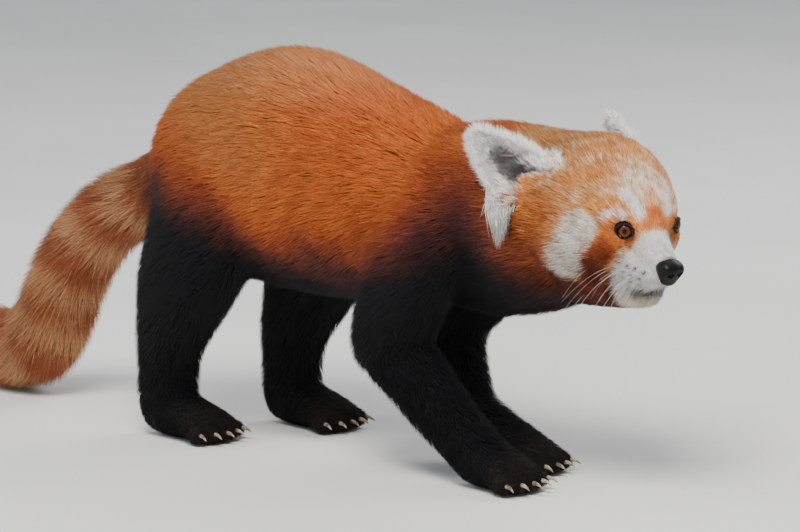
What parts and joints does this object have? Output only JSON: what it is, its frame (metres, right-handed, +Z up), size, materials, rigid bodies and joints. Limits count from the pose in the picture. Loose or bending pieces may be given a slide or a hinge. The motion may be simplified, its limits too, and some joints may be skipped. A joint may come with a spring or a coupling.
{
  "type": "red panda model",
  "caption": "Life-size still model of a red panda walking on all fours with its head held low and its bushy ringed tail trailing on the floor.",
  "frame": {"origin": "on the floor under the middle of the whole model's bounding box, tail included", "axes": "+X towards the head, +Y to the animal's left, +Z up"},
  "size_m": [0.8268, 0.1628, 0.2957],
  "materials": {
    "red_coat": "long rust-red fur",
    "black_coat": "black fur",
    "face_coat": "short ginger and white fur",
    "white_coat": "long white fur",
    "nose_skin": "bare pebbled skin, satin",
    "eye": "wet gloss"
  },
  "bodies": {
    "root": {"ear_left": "white_coat", "ear_right": "white_coat", "eye_left": "eye", "eye_right": "eye", "foreleg_left": "black_coat", "foreleg_right": "black_coat", "forepaw_left": "black_coat", "forepaw_right": "black_coat", "head": "face_coat", "hindpaw_left": "black_coat", "hindpaw_right": "black_coat", "neck": "red_coat", "nose": "nose_skin", "shank_left": "black_coat", "shank_right": "black_coat", "tail_1": "red_coat", "tail_2": "red_coat", "tail_3": "red_coat", "tail_4": "red_coat", "thigh_left": "black_coat", "thigh_right": "black_coat", "torso": "red_coat"}
  },
  "joints": []
}
